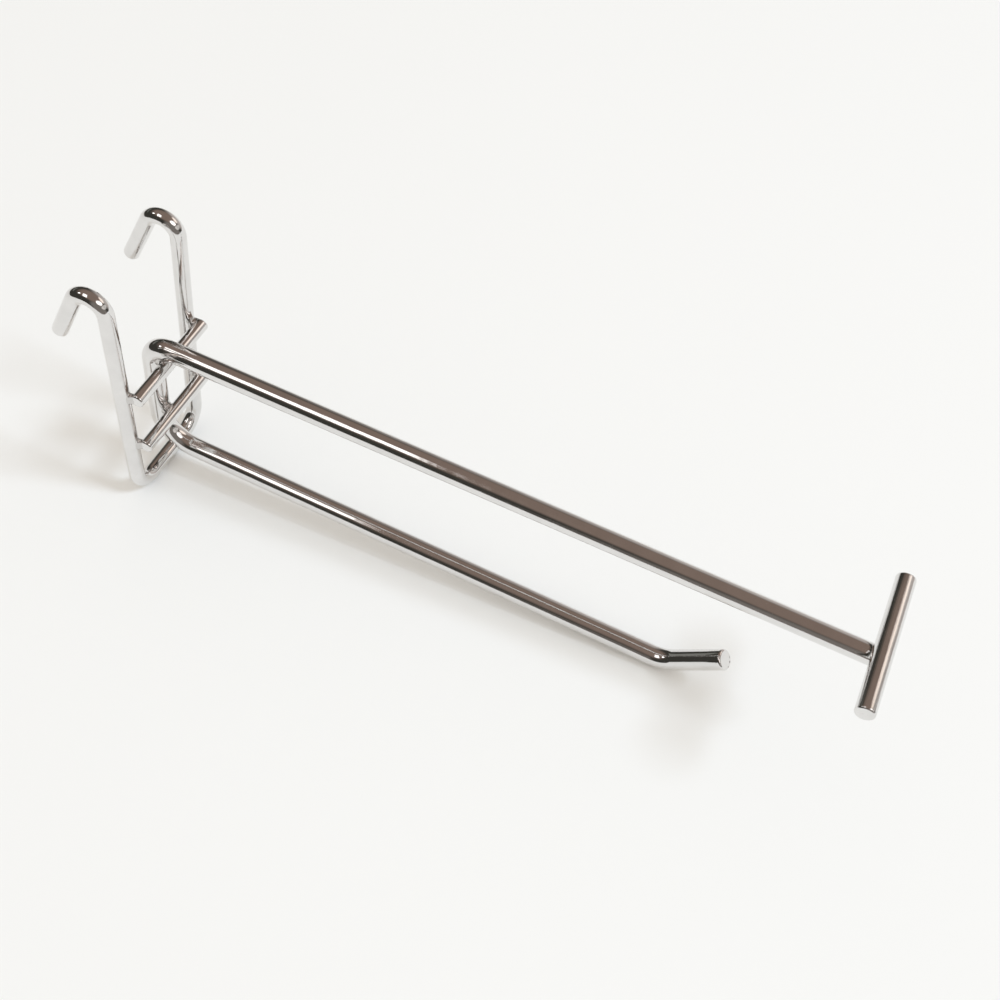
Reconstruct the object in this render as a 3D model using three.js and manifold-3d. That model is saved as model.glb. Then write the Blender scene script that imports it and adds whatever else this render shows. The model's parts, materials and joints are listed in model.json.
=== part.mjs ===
// A welded wire display hook for a grid wall panel, chrome plated all over.
//
// Two hooks hang over one horizontal grid wire and carry a U-shaped bracket. Two crossbars lie
// across the front of the bracket, and a heavier arm wire is welded behind them. Its upper arm ends
// in a T-bar for a label holder, and its lower arm is the peg that bags hang on, with a raised tip.
//
// Frame, in millimetres: the origin is where the grid wire sits, at the inner top of the hooks and
// midway between them. +X runs along the grid wire, the arms reach out along -Y, and +Z is up.
// Every piece is its own solid. Pieces that touch on the real hook stay CLEARANCE apart.

import * as THREE from "three";
import { mergeVertices } from "three/addons/utils/BufferGeometryUtils.js";
import Module from "manifold-3d";

const wasm = await Module();
wasm.setup();

// Wire diameters.
const ARM_WIRE = 6.0;
const BRACKET_WIRE = 4.6;
const CROSSBAR_WIRE = 4.0;
const T_BAR_WIRE = 5.4;
const CLEARANCE = 0.3;

// The bracket: a U with two uprights that spread a little towards the hooks at their tops.
const HOOK_INNER_RADIUS = 2.5;
const HOOK_TURN = 156;
const HOOK_LEG_LENGTH = 17.2;
const HOOK_SPACING = 33.8;
const U_SPACING = 31.4;
const U_BOTTOM_Z = -78.0;
const U_CORNER_RADIUS = 7.5;

// The crossbars, which sit a little off centre, as welded.
const CROSSBAR_LENGTH = 34.0;
const UPPER_CROSSBAR = { z: -34.5, shift: 0.6 };
const LOWER_CROSSBAR = { z: -55.4, shift: 1.2 };

// The arm wire: the upper arm, the riser behind the crossbars, the peg and its raised tip.
const UPPER_ARM_Z = -28.9;
const UPPER_ARM_REACH = 220.0;
const UPPER_BEND_RADIUS = 5.9;
const LOWER_BEND_RADIUS = 11.4;
const PEG_Z = -69.3;
const PEG_DROOP = 1.0;
const PEG_REACH = 168.2;
const TIP_BEND_RADIUS = 10.9;
const TIP_RISE = 41.0;
const TIP_LENGTH = 20.4;

// The T-bar across the end of the upper arm.
const T_BAR_LENGTH = 44.0;
const T_BAR_SHIFT = 0.6;
const T_BAR_SETBACK = 3.2;

// Half the width, thickness and height of a weld lump before the wires are cut out of it.
const WELD_SPREAD = 3.1;
const WELD_DEPTH = 2.0;

// Facets.
const WIRE_SIDES = 20;
const BEND_STEP = 10;

const X = new THREE.Vector3(1, 0, 0);
const Y = new THREE.Vector3(0, 1, 0);

const radians = THREE.MathUtils.degToRad;
const HOOK_RADIUS = HOOK_INNER_RADIUS + BRACKET_WIRE / 2;
const HOOK_CENTRE_Z = -HOOK_INNER_RADIUS;
const UPRIGHT_Y = -HOOK_RADIUS;
const UPRIGHT_SLOPE = (HOOK_SPACING - U_SPACING) / 2 / (HOOK_CENTRE_Z - U_BOTTOM_Z);
const CROSSBAR_Y = UPRIGHT_Y - (BRACKET_WIRE + CROSSBAR_WIRE) / 2 - CLEARANCE;
const RISER_Y = CROSSBAR_Y + (CROSSBAR_WIRE + ARM_WIRE) / 2 + CLEARANCE;
const T_BAR_Y = -UPPER_ARM_REACH + T_BAR_SETBACK;
const T_BAR_Z = UPPER_ARM_Z + (ARM_WIRE + T_BAR_WIRE) / 2 + CLEARANCE;

// How far a bend's ends are from the corner that its two straight runs would meet at.
function cornerLength(radius, degrees) {
  return radius * Math.tan(radians(degrees / 2));
}

// The centreline of a bent wire, made as a wire bender makes it: straight runs and round bends in
// turn. It is stepped through station by station, so a straight run is one step however long it is.
class WirePath extends THREE.Curve {
  constructor(start, heading) {
    super();
    this.stations = [{ point: start, tangent: heading }];
  }

  get steps() {
    return this.stations.length - 1;
  }

  straight(length) {
    const { point, tangent } = this.stations.at(-1);
    this.stations.push({ point: point.clone().addScaledVector(tangent, length), tangent });
    return this;
  }

  bend(radius, degrees, axis) {
    const { point, tangent } = this.stations.at(-1);
    const centre = point.clone().addScaledVector(axis.clone().cross(tangent), radius);
    const count = Math.ceil(degrees / BEND_STEP);
    for (let i = 1; i <= count; i += 1) {
      const angle = radians((degrees * i) / count);
      this.stations.push({
        point: point.clone().sub(centre).applyAxisAngle(axis, angle).add(centre),
        tangent: tangent.clone().applyAxisAngle(axis, angle),
      });
    }
    return this;
  }

  // The same wire with its mirror image across X = 0 joined on before its first station.
  mirrored() {
    const whole = new WirePath();
    const image = this.stations.slice(1).map(({ point, tangent }) => ({
      point: new THREE.Vector3(-point.x, point.y, point.z),
      tangent: new THREE.Vector3(tangent.x, -tangent.y, -tangent.z),
    }));
    whole.stations = [...image.reverse(), ...this.stations];
    return whole;
  }

  getPoint(t) {
    return this.stations[Math.round(t * this.steps)].point.clone();
  }

  getTangent(t) {
    return this.stations[Math.round(t * this.steps)].tangent.clone();
  }

  getUtoTmapping(u) {
    return u;
  }
}

// A wire of round section along a path.
function bentWire(path, radius) {
  const corners = [];
  for (let i = 0; i < WIRE_SIDES; i += 1) {
    const angle = (2 * Math.PI * i) / WIRE_SIDES;
    corners.push(new THREE.Vector2(radius * Math.cos(angle), radius * Math.sin(angle)));
  }
  return new THREE.ExtrudeGeometry(new THREE.Shape(corners), {
    steps: path.steps,
    extrudePath: path,
  });
}

// A straight bar along X, centred on the origin.
function bar(length, radius) {
  return new THREE.CylinderGeometry(radius, radius, length, WIRE_SIDES).rotateZ(Math.PI / 2);
}

// The arm wire, from the front end of the upper arm round to the end of the peg's tip.
function armWirePath() {
  const sideways = X.clone().negate();
  const pegTurn = 90 - PEG_DROOP;
  const tipTurn = PEG_DROOP + TIP_RISE;
  const droop = radians(PEG_DROOP);
  const pegStartY = RISER_Y - LOWER_BEND_RADIUS * (1 - Math.cos(radians(pegTurn)));
  const pegStartZ = PEG_Z + (pegStartY - CROSSBAR_Y) * Math.tan(droop);
  const riserFoot = pegStartZ + LOWER_BEND_RADIUS * Math.sin(radians(pegTurn));
  const tipCorner = cornerLength(TIP_BEND_RADIUS, tipTurn);
  return new WirePath(new THREE.Vector3(0, -UPPER_ARM_REACH, UPPER_ARM_Z), Y)
    .straight(UPPER_ARM_REACH + RISER_Y - UPPER_BEND_RADIUS)
    .bend(UPPER_BEND_RADIUS, 90, sideways)
    .straight(UPPER_ARM_Z - UPPER_BEND_RADIUS - riserFoot)
    .bend(LOWER_BEND_RADIUS, pegTurn, sideways)
    .straight((PEG_REACH + pegStartY) / Math.cos(droop) - tipCorner)
    .bend(TIP_BEND_RADIUS, tipTurn, sideways)
    .straight(TIP_LENGTH - tipCorner);
}

// The bracket wire: one half from the middle of the U out to a hook's tip, and its mirror image.
function bracketWirePath() {
  const splay = Math.atan(UPRIGHT_SLOPE);
  const cornerTurn = 90 - THREE.MathUtils.radToDeg(splay);
  const corner = cornerLength(U_CORNER_RADIUS, cornerTurn);
  const uprightLength = (HOOK_CENTRE_Z - U_BOTTOM_Z) / Math.cos(splay);
  const up = new THREE.Vector3(Math.sin(splay), 0, Math.cos(splay));
  return new WirePath(new THREE.Vector3(0, UPRIGHT_Y, U_BOTTOM_Z), X)
    .straight(U_SPACING / 2 - corner)
    .bend(U_CORNER_RADIUS, cornerTurn, Y.clone().negate())
    .straight(uprightLength - corner)
    .bend(HOOK_RADIUS, HOOK_TURN, up.clone().cross(Y))
    .straight(HOOK_LEG_LENGTH)
    .mirrored();
}

// Half the distance between the uprights at a height.
function uprightX(z) {
  return U_SPACING / 2 + (z - U_BOTTOM_Z) * UPRIGHT_SLOPE;
}

function solidOf(geometry) {
  geometry.deleteAttribute("normal");
  geometry.deleteAttribute("uv");
  const merged = mergeVertices(geometry, 1e-4);
  return new wasm.Manifold(
    new wasm.Mesh({
      numProp: 3,
      vertProperties: merged.attributes.position.array,
      triVerts: new Uint32Array(merged.index.array),
    }),
  );
}

function geometryOf(solid) {
  const mesh = solid.getMesh();
  const geometry = new THREE.BufferGeometry();
  geometry.setAttribute("position", new THREE.BufferAttribute(mesh.vertProperties, 3));
  geometry.setIndex(new THREE.BufferAttribute(mesh.triVerts, 1));
  geometry.computeVertexNormals();
  return geometry;
}

function chrome(color, roughness) {
  return new THREE.MeshStandardMaterial({ color, roughness, metalness: 1 });
}

function piece(name, geometry, material, position = new THREE.Vector3()) {
  const mesh = new THREE.Mesh(geometry, material);
  mesh.name = name;
  mesh.position.copy(position);
  return mesh;
}

// The ring of weld metal round a contact: a lump with the two wires, grown by the clearance,
// cut out of it. The lump is thinnest along the line from one wire to the other.
function weldBead(name, contact, thinAxis, wires, material) {
  const lump = new THREE.SphereGeometry(1, 24, 12);
  const spread = new THREE.Vector3(WELD_SPREAD, WELD_SPREAD, WELD_SPREAD);
  spread.setComponent(thinAxis, WELD_DEPTH);
  lump.scale(spread.x, spread.y, spread.z);
  let solid = solidOf(lump);
  for (const { geometry, position } of wires) {
    const grown = geometry(CLEARANCE).translate(
      position.x - contact.x,
      position.y - contact.y,
      position.z - contact.z,
    );
    solid = solid.subtract(solidOf(grown));
  }
  return piece(name, geometryOf(solid), material, contact);
}

const plated = chrome(0xd6d4cf, 0.1);
const welded = chrome(0xa9a6a0, 0.35);

// Each wire can be made at its own size or grown by an amount all round, to cut a weld bead.
const armWire = {
  geometry: (grow) => bentWire(armWirePath(), ARM_WIRE / 2 + grow),
  position: new THREE.Vector3(),
};
const bracketWire = {
  geometry: (grow) => bentWire(bracketWirePath(), BRACKET_WIRE / 2 + grow),
  position: new THREE.Vector3(),
};
const crossbar = ({ z, shift }) => ({
  geometry: (grow) => bar(CROSSBAR_LENGTH + 2 * grow, CROSSBAR_WIRE / 2 + grow),
  position: new THREE.Vector3(shift, CROSSBAR_Y, z),
});
const upperCrossbar = crossbar(UPPER_CROSSBAR);
const lowerCrossbar = crossbar(LOWER_CROSSBAR);
const tBar = {
  geometry: (grow) => bar(T_BAR_LENGTH + 2 * grow, T_BAR_WIRE / 2 + grow),
  position: new THREE.Vector3(T_BAR_SHIFT, T_BAR_Y, T_BAR_Z),
};

const hook = new THREE.Group();
for (const [name, wire] of [
  ["arm_wire", armWire],
  ["bracket_wire", bracketWire],
  ["upper_crossbar", upperCrossbar],
  ["lower_crossbar", lowerCrossbar],
  ["t_bar", tBar],
]) {
  hook.add(piece(name, wire.geometry(0), plated, wire.position));
}

// Each crossbar is welded to both uprights and to the riser behind it.
const UPRIGHT_WELD_Y = CROSSBAR_Y + (CROSSBAR_WIRE + CLEARANCE) / 2;
for (const [level, wire] of [
  ["upper", upperCrossbar],
  ["lower", lowerCrossbar],
]) {
  const z = wire.position.z;
  for (const [side, sign] of [
    ["left", -1],
    ["right", 1],
  ]) {
    const contact = new THREE.Vector3(sign * uprightX(z), UPRIGHT_WELD_Y, z);
    hook.add(weldBead(`weld_${level}_${side}`, contact, 1, [wire, bracketWire], welded));
  }
  const contact = new THREE.Vector3(0, UPRIGHT_WELD_Y, z);
  hook.add(weldBead(`weld_${level}_riser`, contact, 1, [wire, armWire], welded));
}

// The T-bar lies on top of the upper arm.
const T_BAR_CONTACT = new THREE.Vector3(0, T_BAR_Y, UPPER_ARM_Z + (ARM_WIRE + CLEARANCE) / 2);
hook.add(weldBead("weld_t_bar", T_BAR_CONTACT, 2, [tBar, armWire], welded));

export default hook;
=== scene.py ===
# The looks of a chrome wire display hook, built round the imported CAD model.
#
# Every wire and every weld is a new, finer mesh in the place of its CAD node: wires with true round
# bends and sheared, rolled-over ends, and welds that flow into both wires. All lengths are in metres.

import json
import math
import random

import bmesh
import bpy
import numpy as np
from mathutils import Matrix, Quaternion, Vector


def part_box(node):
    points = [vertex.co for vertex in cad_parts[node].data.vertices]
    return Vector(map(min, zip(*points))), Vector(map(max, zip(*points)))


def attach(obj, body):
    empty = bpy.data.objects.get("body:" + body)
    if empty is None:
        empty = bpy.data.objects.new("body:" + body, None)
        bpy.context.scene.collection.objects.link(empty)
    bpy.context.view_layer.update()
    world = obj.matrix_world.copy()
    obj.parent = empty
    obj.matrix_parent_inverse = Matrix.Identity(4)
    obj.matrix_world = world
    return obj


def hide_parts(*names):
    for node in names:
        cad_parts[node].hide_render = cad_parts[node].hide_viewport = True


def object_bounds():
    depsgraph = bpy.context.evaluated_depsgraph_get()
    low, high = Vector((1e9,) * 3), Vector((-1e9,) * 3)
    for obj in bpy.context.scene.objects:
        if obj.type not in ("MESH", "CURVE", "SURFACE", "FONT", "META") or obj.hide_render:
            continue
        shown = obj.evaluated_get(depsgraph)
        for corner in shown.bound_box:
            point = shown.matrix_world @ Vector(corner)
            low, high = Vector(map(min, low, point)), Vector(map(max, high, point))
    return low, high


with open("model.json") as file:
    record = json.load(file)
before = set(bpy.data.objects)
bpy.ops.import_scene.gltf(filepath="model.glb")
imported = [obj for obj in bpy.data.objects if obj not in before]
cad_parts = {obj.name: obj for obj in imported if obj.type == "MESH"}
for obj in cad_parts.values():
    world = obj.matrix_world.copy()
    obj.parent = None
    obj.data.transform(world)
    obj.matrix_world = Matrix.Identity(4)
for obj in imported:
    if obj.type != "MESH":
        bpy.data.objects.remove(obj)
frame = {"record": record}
cad_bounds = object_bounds()

MM = 0.001
X = Vector((1, 0, 0))
Y = Vector((0, 1, 0))
Z = Vector((0, 0, 1))
BODY = "root"

# Bends of the wires, as in the CAD model: radii of the centreline, and angles in degrees.
HOOK_TURN = 156.0
HOOK_LEG_LENGTH = 17.2 * MM
HOOK_SPACING = 33.8 * MM
U_SPACING = 31.4 * MM
U_CORNER_RADIUS = 7.5 * MM
UPPER_BEND_RADIUS = 5.9 * MM
LOWER_BEND_RADIUS = 11.4 * MM
TIP_BEND_RADIUS = 10.9 * MM
PEG_DROOP = 1.0
PEG_CORNER_REACH = 168.2 * MM

# The gap that CAD leaves between welded wires, and where the front of the peg touches the table, behind
# the corner at its raised tip.
WIRE_GAP = 0.3 * MM
PEG_TOUCH = 4 * MM

# Finish of the meshes. A sheared end's face has rings at shares of its flat part's radius.
SIDES = 48
BEND_STEP = 3.0
STRAIGHT_STEP = 6 * MM
BEND_SQUEEZE = 0.06
END_ROUNDING = 0.5 * MM
END_ROLL = 0.4
ROUNDING_STEPS = 8
FACE_RINGS = (0.25, 0.5, 0.75)
END_SLANT = 0.02
END_SAG = 0.12 * MM
END_ROUGHNESS = 0.09 * MM

# The side that the shear's blade came from, at the start and at the end of each wire.
SHEARED_FROM = {
    "arm_wire": (Z, Z),
    "bracket_wire": (Z, Z),
    "upper_crossbar": (Z, Z),
    "lower_crossbar": (Z, Z),
    "t_bar": (Vector((0, -0.4, 1)), Vector((0, 0.3, 1))),
}

# Welds: how far a bead reaches, how softly it joins the wires, and how lumpy it is.
BEAD_REACH = 3.6 * MM
BEAD_STEPS = 60
BEAD_BLEND = 1.9 * MM
BEAD_TUCK = 0.16 * MM
BEAD_LUMPS = 0.09 * MM
BEAD_LUMP_SIZE = 0.9 * MM
BEAD_GRAIN = 0.01 * MM
BEAD_SUBDIVISIONS = 5
FIRST_WELD_SEED = 100

# Plating. The haze and the ripple are noise, with scales in waves per metre. Over one range of the haze
# the tint rises from a darker one, and over another the surface gets rougher. The drawing marks are
# noise in the unrolled UV map, stretched along the wire and packed round it.
CHROME_TINT = (0.80, 0.79, 0.78)
WELD_TINT = (0.66, 0.645, 0.63)
DARKER_TINT = 0.93
HAZE_SCALE = 180.0
TINT_RANGE = (0.3, 0.7)
ROUGHENING_RANGE = (0.3, 0.75)
RIPPLE_SCALE = 120.0
DRAWING_SCALE = 2.0
DRAWING_STRETCH = (0.35, 40.0, 1.0)
DRAWING_STRENGTH = 0.12

# The camera: where it stands, how it is turned, in degrees, and its lens and sensor, in millimetres.
CAMERA_PLACE = Vector((-0.2010, -0.1649, 0.2527))
CAMERA_AZIMUTH = -75.14
CAMERA_ELEVATION = 53.81
CAMERA_ROLL = 11.34
CAMERA_LENS = 47.41
CAMERA_SENSOR = 36
CAMERA_CLIP_START = 10 * MM

# The table: how far it goes on, where its edge is on the camera's side, and its matt, hardly clouded white.
TABLE_REACH = 3.0
TABLE_EDGE = -0.30
TABLE_ROUGHNESS = 0.6
TABLE_SPECULAR = 0.2
TABLE_CLOUD_SCALE = 3.0
TABLE_WHITES = ((0.86, 0.86, 0.845), (0.88, 0.88, 0.868))

# The light. Radiances are relative to a white that just fills the picture's range. Azimuths and
# elevations are in degrees. A thing in the room fades in or out between two elevations, and a spread is
# the range of a direction's cosine, towards the middle of the thing, in which it fades in.
LAMP_DISTANCE = 5.0
DAYLIGHT = (0.74, 0.86, 1.0)
WINDOW_SLANT = Vector((0.87, 0, 0.5))
CEILING_FROM = (23, 55)
WALL_AZIMUTH = 112
WALL_SPREAD = (0.58, 0.95)
WALL_UP_TO = (30, 65)
BENCH_AZIMUTH = -130
BENCH_SPREAD = (0.62, 0.8)
BENCH_UP_TO = (35, 55)
ROOM_CEILING = (0.228, 0.170, 0.141)
ROOM_LOW = (0.046, 0.044, 0.038)
ROOM_WALL = (0.56, 0.51, 0.48)
ROOM_BENCH = (0.20, 0.18, 0.165)
ROOM_ON_TABLE = (0.855, 0.812, 0.757)
ROOM_SEEN = (0.92, 0.92, 0.905)


def mount(name):
    """The place and the axis of one of the record's mounts."""
    for entry in frame["record"]["mounts"]:
        if entry["name"] == name:
            return Vector(entry["pos_m"]), Vector(entry["axis"])
    raise KeyError(name)


def wire_radius(node, axis):
    """The radius of a wire that lies square to an axis, from its node's box."""
    low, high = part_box(node)
    return (high[axis] - low[axis]) / 2


def corner_length(radius, degrees):
    """How far a bend's ends are from the corner that its straight runs would meet at."""
    return radius * math.tan(math.radians(degrees) / 2)


class Wire:
    """The centreline of a bent wire, made as a wire bender makes it: straight runs and bends.

    Each station holds its point, its direction, and towards which side the wire bends there."""

    def __init__(self, start, heading, radius):
        self.radius = radius
        self.stations = [(start.copy(), heading.normalized(), Vector())]

    def straight(self, length):
        point, heading, _ = self.stations[-1]
        count = max(1, round(length / STRAIGHT_STEP))
        for i in range(1, count + 1):
            self.stations.append((point + heading * (length * i / count), heading.copy(), Vector()))
        return self

    def bend(self, radius, degrees, axis):
        point, heading, _ = self.stations[-1]
        centre = point + axis.cross(heading) * radius
        count = math.ceil(degrees / BEND_STEP)
        for i in range(1, count + 1):
            turn = Quaternion(axis, math.radians(degrees * i / count))
            spot = centre + turn @ (point - centre)
            tightness = math.sin(math.pi * i / count) * self.radius / radius
            self.stations.append((spot, turn @ heading, (centre - spot).normalized() * tightness))
        return self

    def mirrored(self):
        """Joins on the wire's mirror image across X = 0, before its first station."""
        image = []
        for point, heading, side in reversed(self.stations[1:]):
            image.append(
                (
                    Vector((-point.x, point.y, point.z)),
                    Vector((heading.x, -heading.y, -heading.z)),
                    Vector((-side.x, side.y, side.z)),
                )
            )
        self.stations = image + self.stations
        return self


def arm_wire():
    """From the front end of the upper arm, round behind the crossbars, to the peg's raised tip."""
    radius = wire_radius("arm_wire", 0)
    _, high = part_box("arm_wire")
    arm_end, _ = mount("upper_arm_end")
    tip_end, tip_axis = mount("peg_tip_end")
    riser_y = high.y - radius
    tip_rise = math.degrees(math.asin(tip_axis.z))
    tip_turn = PEG_DROOP + tip_rise
    corner_z = tip_end.z - (-PEG_CORNER_REACH - tip_end.y) * math.tan(math.radians(tip_rise))
    corner = Vector((0, -PEG_CORNER_REACH, corner_z))
    peg_turn = 90 - PEG_DROOP
    peg_start_y = riser_y - LOWER_BEND_RADIUS * (1 - math.cos(math.radians(peg_turn)))
    slope = math.tan(math.radians(PEG_DROOP))
    peg_start_z = corner.z + (peg_start_y - corner.y) * slope
    riser_foot = peg_start_z + LOWER_BEND_RADIUS * math.sin(math.radians(peg_turn))
    tip_corner = corner_length(TIP_BEND_RADIUS, tip_turn)
    peg_run = (peg_start_y - corner.y) / math.cos(math.radians(PEG_DROOP))
    wire = Wire(arm_end, Y, radius)
    wire.straight(riser_y - UPPER_BEND_RADIUS - arm_end.y)
    wire.bend(UPPER_BEND_RADIUS, 90, -X)
    wire.straight(arm_end.z - UPPER_BEND_RADIUS - riser_foot)
    wire.bend(LOWER_BEND_RADIUS, peg_turn, -X)
    wire.straight(peg_run - tip_corner)
    wire.bend(TIP_BEND_RADIUS, tip_turn, -X)
    wire.straight((tip_end - corner).length - tip_corner)
    return wire


def bracket_wire():
    """One half from the middle of the U out to a hook's tip, and its mirror image."""
    low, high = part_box("bracket_wire")
    seat, _ = mount("grid_wire_seat")
    radius = (high.z - seat.z) / 2
    hook_radius = seat.y - (low.y + radius)
    hook_centre_z = high.z - radius - hook_radius
    u_bottom_z = low.z + radius
    height = hook_centre_z - u_bottom_z
    splay = math.atan((HOOK_SPACING - U_SPACING) / 2 / height)
    turn = 90 - math.degrees(splay)
    corner = corner_length(U_CORNER_RADIUS, turn)
    up = Vector((math.sin(splay), 0, math.cos(splay)))
    wire = Wire(Vector((0, low.y + radius, u_bottom_z)), X, radius)
    wire.straight(U_SPACING / 2 - corner)
    wire.bend(U_CORNER_RADIUS, turn, -Y)
    wire.straight(height / math.cos(splay) - corner)
    wire.bend(hook_radius, HOOK_TURN, up.cross(Y))
    wire.straight(HOOK_LEG_LENGTH)
    return wire.mirrored()


def bar_wire(node):
    """A straight bar along X, from its node's box."""
    low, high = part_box(node)
    centre = (low + high) / 2
    wire = Wire(Vector((low.x, centre.y, centre.z)), X, wire_radius(node, 2))
    return wire.straight(high.x - low.x)


def carried_frames(stations):
    """A pair of directions square to the wire at each station, carried along without twist."""
    heading = stations[0][1]
    across = X if abs(heading.x) < 0.9 else Z
    across = (across - heading * across.dot(heading)).normalized()
    frames = []
    for _, heading, _ in stations:
        across = (across - heading * across.dot(heading)).normalized()
        frames.append((across, heading.cross(across)))
    return frames


def oval(offset, side):
    """An offset in the wire's section, flattened a little on the inside of a tight bend."""
    tightness = side.length
    if tightness < 1e-6:
        return offset
    inward = side / tightness
    squeeze = BEND_SQUEEZE * tightness
    towards = inward * offset.dot(inward)
    return (offset - towards) * (1 + squeeze / 2) + towards * (1 - squeeze)


def spoke(frame_pair, side):
    """The direction of one of the wire's sides, out from its centreline."""
    across, up = frame_pair
    angle = 2 * math.pi * side / SIDES
    return across * math.cos(angle) + up * math.sin(angle)


def sheared_end(point, outward, frame_pair, radius, blade_side, rng):
    """The centre and the rings of a sheared wire end, from the centre out to the wire's side.

    The blade rolls the edge over on the side that it came from, and the face sags there. On the other
    side the wire broke away, so the face is rough."""
    across, up = frame_pair
    roll_side = math.atan2(blade_side.dot(up), blade_side.dot(across))
    profile = [(share, 1) for share in FACE_RINGS]
    for step in range(ROUNDING_STEPS, -1, -1):
        profile.append((1, step / ROUNDING_STEPS))
    rings = []
    for share, flatness in profile:
        quarter = math.pi / 2 * flatness
        ring = []
        for side in range(SIDES):
            facing_blade = math.cos(2 * math.pi * side / SIDES - roll_side)
            rounding = END_ROUNDING * (1 + END_ROLL * facing_blade)
            reach = (radius - rounding) * share + rounding * math.cos(quarter)
            towards_blade = facing_blade * reach / radius
            sunk = rounding * (1 - math.sin(quarter))
            sunk += END_SLANT * radius * (1 - towards_blade)
            sunk += END_SAG * max(towards_blade, 0) ** 2
            if flatness == 1:
                sunk += rng.uniform(0, END_ROUGHNESS) * (1 - towards_blade) / 2
            ring.append(point + spoke(frame_pair, side) * reach - outward * sunk)
        rings.append(ring)
    centre = point - outward * (END_SLANT * radius + END_ROUGHNESS / 4)
    return centre, rings


def wire_mesh(name, wire, seed):
    """A wire as a mesh: its sheared ends, and a ring of vertices at each station between them.

    The UV map runs along the wire and round it, in units of its circumference."""
    rng = random.Random(seed)
    stations = wire.stations
    frames = carried_frames(stations)
    start, end = stations[0], stations[-1]
    from_start, from_end = SHEARED_FROM[name]
    start_centre, rings = sheared_end(start[0], -start[1], frames[0], wire.radius, from_start, rng)
    end_centre, end_rings = sheared_end(end[0], end[1], frames[-1], wire.radius, from_end, rng)
    for (point, _, side), frame_pair in list(zip(stations, frames))[1:-1]:
        ring = []
        for i in range(SIDES):
            ring.append(point + oval(spoke(frame_pair, i) * wire.radius, side))
        rings.append(ring)
    rings += reversed(end_rings)
    vertices = [start_centre] + [point for ring in rings for point in ring] + [end_centre]
    final = len(vertices) - 1
    faces = []
    for i in range(SIDES):
        faces.append((0, 1 + (i + 1) % SIDES, 1 + i))
    for k in range(len(rings) - 1):
        low = 1 + k * SIDES
        for i in range(SIDES):
            j = (i + 1) % SIDES
            faces.append((low + i, low + j, low + SIDES + j, low + SIDES + i))
    low = final - SIDES
    for i in range(SIDES):
        faces.append((low + i, low + (i + 1) % SIDES, final))
    mesh = bpy.data.meshes.new(name + "_smooth")
    mesh.from_pydata(vertices, [], faces)
    add_wire_uvs(mesh, rings, wire.radius)
    return finished_object(name + "_smooth", mesh)


def add_wire_uvs(mesh, rings, radius):
    """Unrolls the wire: U along it and V round it, both in circumferences.

    On an end's face the rings hardly move along the wire, so half of their growth counts as a step."""
    circumference = 2 * math.pi * radius
    along = [0.0]
    for before, after in zip(rings, rings[1:]):
        middle = sum((b - a for a, b in zip(before, after)), Vector()) / SIDES
        swelling = (after[0] - before[0]).length
        along.append(along[-1] + max(middle.length, swelling * 0.5) / circumference)
    layer = mesh.uv_layers.new(name="Unrolled")
    ring_count = len(rings)
    for face in mesh.polygons:
        corners = [mesh.loops[i].vertex_index - 1 for i in face.loop_indices]
        sides = [c % SIDES for c in corners if 0 <= c < ring_count * SIDES]
        wraps = 0 in sides and SIDES - 1 in sides
        for loop, corner in zip(face.loop_indices, corners):
            if corner < 0 or corner >= ring_count * SIDES:
                u = along[0] if corner < 0 else along[-1]
                layer.data[loop].uv = (u, (sides[0] + 0.5) / SIDES)
                continue
            side = corner % SIDES
            v = (SIDES if wraps and side == 0 else side) / SIDES
            layer.data[loop].uv = (along[corner // SIDES], v)


def finished_object(name, mesh):
    mesh.polygons.foreach_set("use_smooth", [True] * len(mesh.polygons))
    mesh.update()
    piece = bpy.data.objects.new(name, mesh)
    bpy.context.scene.collection.objects.link(piece)
    return piece


def distance_to_wire(points, wire, near):
    """How far points are outside a bent wire's surface, looking only at its stretch near a place."""
    line = np.array([station[0] for station in wire.stations])
    starts, ends = line[:-1], line[1:]
    middles = (starts + ends) / 2
    close = np.linalg.norm(middles - np.array(near), axis=1) < 4 * BEAD_REACH
    starts, ends = starts[close], ends[close]
    runs = ends - starts
    best = np.full(len(points), np.inf)
    for start, run in zip(starts, runs):
        share = np.clip((points - start) @ run / (run @ run), 0, 1)
        best = np.minimum(best, np.linalg.norm(points - start - share[:, None] * run, axis=1))
    outside = best - wire.radius
    for point, heading, _ in (wire.stations[0], wire.stations[-1]):
        inward = heading if point == wire.stations[0][0] else -heading
        if (point - near).length < 2 * BEAD_REACH:
            outside = np.maximum(outside, (np.array(point) - points) @ np.array(inward))
    return outside


def distance_to_bar(points, wire):
    """How far points are outside a straight bar along X, counting its ends."""
    start, end = wire.stations[0][0], wire.stations[-1][0]
    beyond = np.abs(points[:, 0] - (start.x + end.x) / 2) - (end.x - start.x) / 2
    aside = np.hypot(points[:, 1] - start.y, points[:, 2] - start.z) - wire.radius
    outside = np.hypot(np.maximum(beyond, 0), np.maximum(aside, 0))
    return outside + np.minimum(np.maximum(beyond, aside), 0)


def neck(first, second, lumps):
    """How far points are outside the metal that flows between two wires.

    Where both wires are near it stands proud of them, with lumps, and elsewhere it is inside them."""
    near = np.maximum(BEAD_BLEND - np.abs(first - second), 0) / BEAD_BLEND
    proud = near * near * BEAD_BLEND / 4 + near * lumps
    return np.minimum(first, second) - proud + (1 - near) * BEAD_TUCK


def ripples(points, rng, scale, waves=7):
    """Smooth lumpy variation from -1 to 1 or so: a sum of a few waves in seeded directions."""
    total = np.zeros(len(points))
    for _ in range(waves):
        direction = np.array([rng.gauss(0, 1) for _ in range(3)])
        direction *= rng.uniform(0.6, 1.6) / np.linalg.norm(direction) / scale
        total += np.sin(points @ direction + rng.uniform(0, 2 * math.pi))
    return total / math.sqrt(waves)


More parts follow.
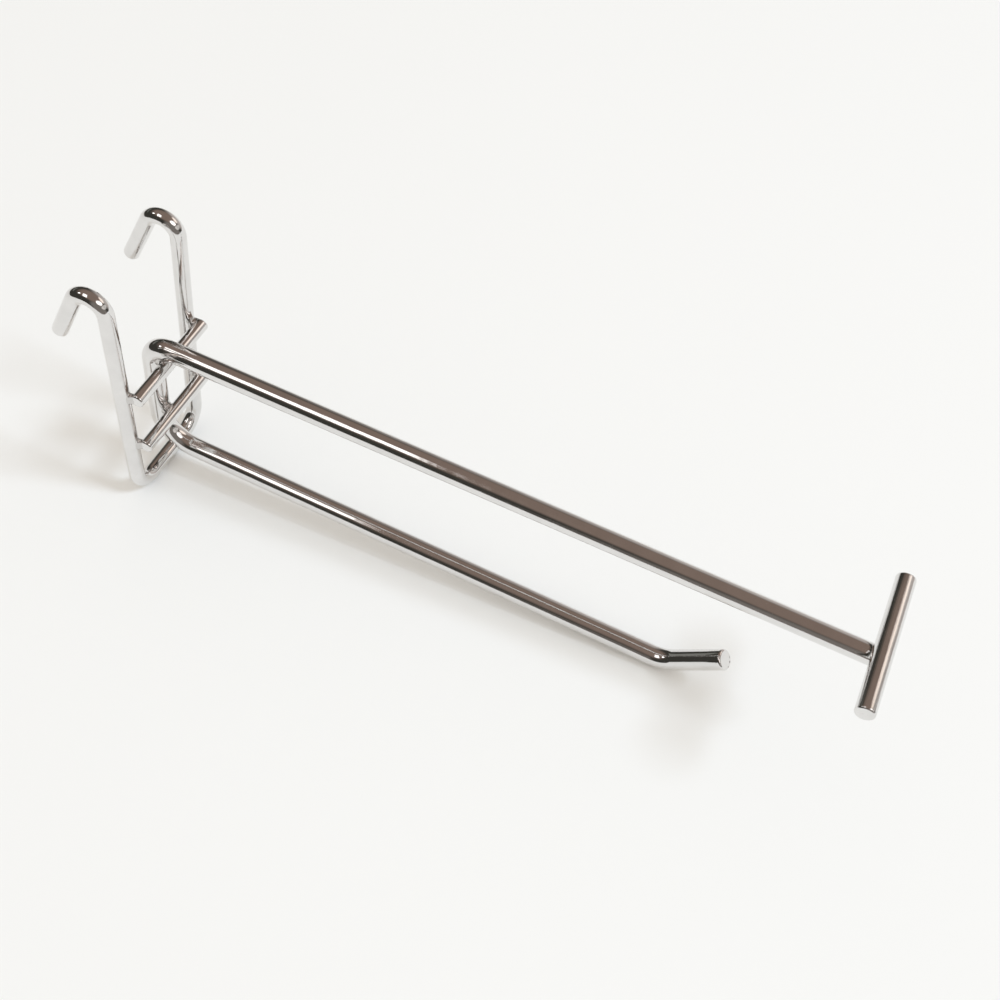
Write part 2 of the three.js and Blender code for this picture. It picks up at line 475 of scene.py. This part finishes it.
def weld_mesh(name, contact, bar, other, seed):
    """The metal that flows out between two wires where they are spot welded.

    Its surface is found by going out from the contact in each direction until the blend of the
    two wires ends. Along the wires themselves it stops inside them."""
    rng = random.Random(seed)
    ball = bmesh.new()
    bmesh.ops.create_icosphere(ball, subdivisions=BEAD_SUBDIVISIONS, radius=1)
    directions = np.array([vertex.co for vertex in ball.verts])
    centre = np.array(contact)
    reach = np.full(len(directions), BEAD_REACH)
    open_rays = np.ones(len(directions), bool)
    for step in range(1, BEAD_STEPS + 1):
        out = BEAD_REACH * step / BEAD_STEPS
        points = centre + directions * out
        gap = neck(
            distance_to_bar(points, bar),
            distance_to_wire(points, other, contact),
            BEAD_LUMPS * ripples(points, random.Random(seed), BEAD_LUMP_SIZE),
        )
        ended = open_rays & (gap > 0)
        reach[ended] = out
        open_rays &= ~ended
    for vertex, length in zip(ball.verts, reach):
        vertex.co = contact + vertex.co * (length + rng.uniform(-1, 1) * BEAD_GRAIN)
    bmesh.ops.smooth_vert(
        ball, verts=ball.verts, factor=0.5, use_axis_x=True, use_axis_y=True, use_axis_z=True
    )
    mesh = bpy.data.meshes.new(name)
    ball.to_mesh(mesh)
    ball.free()
    return finished_object(name, mesh)


# ---- Materials ----


def node_maker(material):
    """A material's node tree, and a function that adds nodes to it with some inputs set."""
    tree = material.node_tree

    def make(kind, **inputs):
        node = tree.nodes.new(kind)
        for key, value in inputs.items():
            node.inputs[key.replace("_", " ")].default_value = value
        return node

    return tree, make


def chrome(name, color, roughness, haziness, ripple, grain):
    """Bright plating: drawing marks along the wire, faint hazy patches and a slow ripple.

    Ripple and grain are the depths of the ripple and of the drawing marks."""
    material = bpy.data.materials.new(name)
    material.use_nodes = True
    tree, make = node_maker(material)
    shader = tree.nodes["Principled BSDF"]
    shader.inputs["Metallic"].default_value = 1.0
    link = tree.links.new
    place = make("ShaderNodeTexCoord")

    haze = make("ShaderNodeTexNoise", Scale=HAZE_SCALE, Detail=4.0, Roughness=0.6)
    link(place.outputs["Object"], haze.inputs["Vector"])
    tint = make("ShaderNodeValToRGB")
    tint.color_ramp.elements[0].position = TINT_RANGE[0]
    tint.color_ramp.elements[0].color = [part * DARKER_TINT for part in color] + [1]
    tint.color_ramp.elements[1].position = TINT_RANGE[1]
    tint.color_ramp.elements[1].color = [*color, 1]
    link(haze.outputs["Fac"], tint.inputs["Fac"])
    link(tint.outputs["Color"], shader.inputs["Base Color"])

    rough = make("ShaderNodeMapRange")
    rough.inputs["From Min"].default_value = ROUGHENING_RANGE[0]
    rough.inputs["From Max"].default_value = ROUGHENING_RANGE[1]
    rough.inputs["To Min"].default_value = roughness
    rough.inputs["To Max"].default_value = roughness + haziness
    link(haze.outputs["Fac"], rough.inputs["Value"])
    link(rough.outputs["Result"], shader.inputs["Roughness"])

    stretch = make("ShaderNodeMapping")
    stretch.inputs["Scale"].default_value = DRAWING_STRETCH
    link(place.outputs["UV"], stretch.inputs["Vector"])
    drawing = make("ShaderNodeTexNoise", Scale=DRAWING_SCALE, Detail=3.0)
    link(stretch.outputs["Vector"], drawing.inputs["Vector"])
    lines = make("ShaderNodeBump", Strength=DRAWING_STRENGTH, Distance=grain)
    link(drawing.outputs["Fac"], lines.inputs["Height"])

    swell = make("ShaderNodeTexNoise", Scale=RIPPLE_SCALE, Detail=2.0)
    link(place.outputs["Object"], swell.inputs["Vector"])
    waves = make("ShaderNodeBump", Strength=1.0, Distance=ripple)
    link(swell.outputs["Fac"], waves.inputs["Height"])
    link(lines.outputs["Normal"], waves.inputs["Normal"])
    link(waves.outputs["Normal"], shader.inputs["Normal"])
    return material


def floor_material():
    """A matt white table top, very faintly clouded."""
    material = bpy.data.materials.new("table_top")
    material.use_nodes = True
    tree, make = node_maker(material)
    shader = tree.nodes["Principled BSDF"]
    shader.inputs["Roughness"].default_value = TABLE_ROUGHNESS
    shader.inputs["Specular IOR Level"].default_value = TABLE_SPECULAR
    place = make("ShaderNodeTexCoord")
    cloud = make("ShaderNodeTexNoise", Scale=TABLE_CLOUD_SCALE, Detail=2.0)
    tree.links.new(place.outputs["Object"], cloud.inputs["Vector"])
    tint = make("ShaderNodeValToRGB")
    for element, white in zip(tint.color_ramp.elements, TABLE_WHITES):
        element.color = (*white, 1)
    tree.links.new(cloud.outputs["Fac"], tint.inputs["Fac"])
    tree.links.new(tint.outputs["Color"], shader.inputs["Base Color"])
    return material


# ---- The object ----

wires = {
    "arm_wire": arm_wire(),
    "bracket_wire": bracket_wire(),
    "upper_crossbar": bar_wire("upper_crossbar"),
    "lower_crossbar": bar_wire("lower_crossbar"),
    "t_bar": bar_wire("t_bar"),
}
plating = chrome(
    "chrome_wire", CHROME_TINT, roughness=0.035, haziness=0.10, ripple=0.05 * MM, grain=0.06 * MM
)
drawn_plating = chrome(
    "chrome_bar", CHROME_TINT, roughness=0.07, haziness=0.12, ripple=0.05 * MM, grain=0.25 * MM
)
weld_plating = chrome(
    "plated_weld", WELD_TINT, roughness=0.14, haziness=0.20, ripple=0.08 * MM, grain=0.02 * MM
)


def add_piece(piece, node, material):
    piece.data.materials.append(material)
    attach(piece, BODY)
    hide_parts(node)


for seed, (node, wire) in enumerate(wires.items()):
    finish = drawn_plating if node == "t_bar" else plating
    add_piece(wire_mesh(node, wire, seed), node, finish)


def upright_x(z):
    """Where the right upright's centreline is at a height."""
    stations = wires["bracket_wire"].stations
    for (a, heading, _), (b, _, _) in zip(stations, stations[1:]):
        if a.x > 0 and a.z <= z < b.z and abs(heading.y) < 1e-6:
            return a.x + (b.x - a.x) * (z - a.z) / (b.z - a.z)
    raise ValueError(z)


def add_weld(node, contact, bar_name, other_name, seed):
    piece = weld_mesh(node + "_bead", contact, wires[bar_name], wires[other_name], seed)
    add_piece(piece, node, weld_plating)


def add_welds():
    """Each crossbar is welded to the two uprights and the arm wire behind it, and the T-bar to the arm."""
    seed = FIRST_WELD_SEED
    for level in ("upper", "lower"):
        bar_name = level + "_crossbar"
        centre = wires[bar_name].stations[0][0]
        behind = centre.y + wires[bar_name].radius + WIRE_GAP / 2
        half = upright_x(centre.z)
        places = (("left", -half, "bracket_wire"), ("right", half, "bracket_wire"), ("riser", 0, "arm_wire"))
        for side, x, other_name in places:
            contact = Vector((x, behind, centre.z))
            add_weld(f"weld_{level}_{side}", contact, bar_name, other_name, seed)
            seed += 1
    centre = wires["t_bar"].stations[0][0]
    below = centre.z - wires["t_bar"].radius - WIRE_GAP / 2
    add_weld("weld_t_bar", Vector((0, centre.y, below)), "t_bar", "arm_wire", seed)


add_welds()


# ---- The stage ----


def add_floor():
    """The table, under the two places where the hook rests: the foot of the U and the peg's front.

    It is the plane that touches both wires from below, so it is tilted a little."""
    low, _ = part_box("bracket_wire")
    foot_radius = wires["bracket_wire"].radius
    foot = Vector((0, low.y + foot_radius, low.z + foot_radius))
    low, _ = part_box("arm_wire")
    peg_radius = wires["arm_wire"].radius
    front = Vector((0, PEG_TOUCH - PEG_CORNER_REACH, low.z + peg_radius))
    run = front - foot
    tilt = math.atan2(run.z, -run.y) - math.asin((peg_radius - foot_radius) / run.length)
    up = Vector((0, math.sin(tilt), math.cos(tilt)))
    corners = []
    for x, y in ((TABLE_EDGE, -1), (TABLE_REACH, -1), (TABLE_REACH, 1), (TABLE_EDGE, 1)):
        corners.append((x, y * TABLE_REACH, 0))
    mesh = bpy.data.meshes.new("table")
    mesh.from_pydata(corners, [], [(0, 1, 2, 3)])
    floor = bpy.data.objects.new("table", mesh)
    bpy.context.scene.collection.objects.link(floor)
    turned = Matrix((X, up.cross(X), up)).transposed().to_4x4()
    floor.matrix_world = Matrix.Translation(foot - up * foot_radius) @ turned
    floor.data.materials.append(floor_material())


def add_camera():
    azimuth = math.radians(CAMERA_AZIMUTH)
    elevation = math.radians(CAMERA_ELEVATION)
    forward = Vector(
        (
            -math.sin(azimuth) * math.cos(elevation),
            math.cos(azimuth) * math.cos(elevation),
            -math.sin(elevation),
        )
    )
    level = Vector((math.cos(azimuth), math.sin(azimuth), 0))
    roll = Quaternion(forward, -math.radians(CAMERA_ROLL))
    right = roll @ level
    up = right.cross(forward)
    camera = bpy.data.objects.new("camera", bpy.data.cameras.new("camera"))
    bpy.context.scene.collection.objects.link(camera)
    turned = Matrix((right, up, -forward)).transposed().to_4x4()
    camera.matrix_world = Matrix.Translation(CAMERA_PLACE) @ turned
    camera.data.lens = CAMERA_LENS
    camera.data.sensor_width = CAMERA_SENSOR
    camera.data.clip_start = CAMERA_CLIP_START
    bpy.context.scene.camera = camera


def direction(azimuth, elevation):
    """The unit vector towards a place in the room. Azimuth 0 is +Y and 90 is +X, in degrees."""
    across = math.cos(math.radians(elevation))
    return Vector(
        (
            math.sin(math.radians(azimuth)) * across,
            math.cos(math.radians(azimuth)) * across,
            math.sin(math.radians(elevation)),
        )
    )


def add_lamp(name, place, spans, radiance, color, mirrored=True, shape="ELLIPSE", along=None):
    """A flat light that faces the object, at an azimuth and an elevation, with the width and height in
    degrees that the object sees.

    Its width is level, or along a direction. A mirrored lamp only shows in gloss, mostly the chrome's,
    and any other only lights what is matt."""
    width, height = (2 * LAMP_DISTANCE * math.tan(math.radians(span) / 2) for span in spans)
    light = bpy.data.lights.new(name, "AREA")
    light.shape = shape
    light.size = width
    light.size_y = height
    area = width * height * (math.pi / 4 if shape == "ELLIPSE" else 1)
    light.energy = radiance * area * math.pi
    light.color = color
    lamp = bpy.data.objects.new(name, light)
    bpy.context.scene.collection.objects.link(lamp)
    low, high = cad_bounds
    middle = (Vector(low) + Vector(high)) / 2
    towards = direction(*place)
    across = along or Z.cross(towards)
    across = (across - towards * across.dot(towards)).normalized()
    turned = Matrix((across, towards.cross(across), towards)).transposed().to_4x4()
    lamp.matrix_world = Matrix.Translation(middle + towards * LAMP_DISTANCE) @ turned
    lamp.visible_glossy = mirrored
    lamp.visible_diffuse = not mirrored
    lamp.visible_camera = False


def add_room():
    """What the chrome mirrors besides the table and the lamps: a taupe ceiling, dark low surroundings,
    a brighter wall beyond the hook and a dim bench on the camera's side.

    What is matt it lights evenly, also by way of the chrome. Seen directly, it is plain and pale."""
    world = bpy.data.worlds.new("room")
    bpy.context.scene.world = world
    world.use_nodes = True
    tree = world.node_tree
    link = tree.links.new
    background = tree.nodes["Background"]

    def ramp(source, limits, start=0.0, end=1.0):
        node = tree.nodes.new("ShaderNodeMapRange")
        node.interpolation_type = "SMOOTHSTEP"
        node.inputs["From Min"].default_value = limits[0]
        node.inputs["From Max"].default_value = limits[1]
        node.inputs["To Min"].default_value = start
        node.inputs["To Max"].default_value = end
        link(source, node.inputs["Value"])
        return node.outputs["Result"]

    def mix(share, first, second):
        node = tree.nodes.new("ShaderNodeMix")
        node.data_type = "RGBA"
        link(share, node.inputs["Factor"])
        colors = [socket for socket in node.inputs if socket.type == "RGBA"]
        for source, socket in zip((first, second), colors):
            if isinstance(source, tuple):
                socket.default_value = (*source, 1)
            else:
                link(source, socket)
        return next(socket for socket in node.outputs if socket.type == "RGBA")

    def product(first, second):
        node = tree.nodes.new("ShaderNodeMath")
        node.operation = "MULTIPLY"
        link(first, node.inputs[0])
        link(second, node.inputs[1])
        return node.outputs["Value"]

    def facing(towards):
        node = tree.nodes.new("ShaderNodeVectorMath")
        node.operation = "DOT_PRODUCT"
        link(place.outputs["Generated"], node.inputs[0])
        node.inputs[1].default_value = towards
        return node.outputs["Value"]

    def heights(elevations):
        return [math.sin(math.radians(elevation)) for elevation in elevations]

    place = tree.nodes.new("ShaderNodeTexCoord")
    height = facing(Z)
    color = mix(ramp(height, heights(CEILING_FROM)), ROOM_LOW, ROOM_CEILING)
    wall_side = ramp(facing(direction(WALL_AZIMUTH, 0)), WALL_SPREAD)
    wall_top = ramp(height, heights(WALL_UP_TO), 1, 0)
    color = mix(product(wall_side, wall_top), color, ROOM_WALL)
    bench_side = ramp(facing(direction(BENCH_AZIMUTH, 0)), BENCH_SPREAD)
    bench_top = ramp(height, heights(BENCH_UP_TO), 1, 0)
    color = mix(product(bench_side, bench_top), color, ROOM_BENCH)
    path = tree.nodes.new("ShaderNodeLightPath")
    color = mix(path.outputs["Diffuse Depth"], color, ROOM_ON_TABLE)
    color = mix(path.outputs["Is Camera Ray"], color, ROOM_SEEN)
    link(color, background.inputs["Color"])


def add_light():
    """The daylight on the table, and the bright shapes that the chrome mirrors."""
    add_lamp("daylight", (172, 53), (14, 14), 29.5, DAYLIGHT, mirrored=False)
    add_lamp("window_front", (-165, 48), (46, 26), 1.6, (1, 0.97, 0.96))
    add_lamp("panel_front", (180, 24), (62, 18), 0.55, (1, 0.96, 0.92))
    add_lamp("window_right", (131, 39), (33, 22), 0.90, (1, 0.88, 0.79))
    add_lamp(
        "window_left", (-52, 54), (27, 17), 1.6, (1, 0.99, 0.98), shape="RECTANGLE", along=WINDOW_SLANT
    )
    add_lamp("lamp_left", (-22, 39), (8, 8), 4.0, (1, 1, 1))
    add_lamp("panel_back", (17, 14), (32, 7), 0.17, (0.98, 1, 0.93))


add_camera()
add_floor()
add_room()
add_light()
bpy.context.scene.view_settings.view_transform = "Standard"
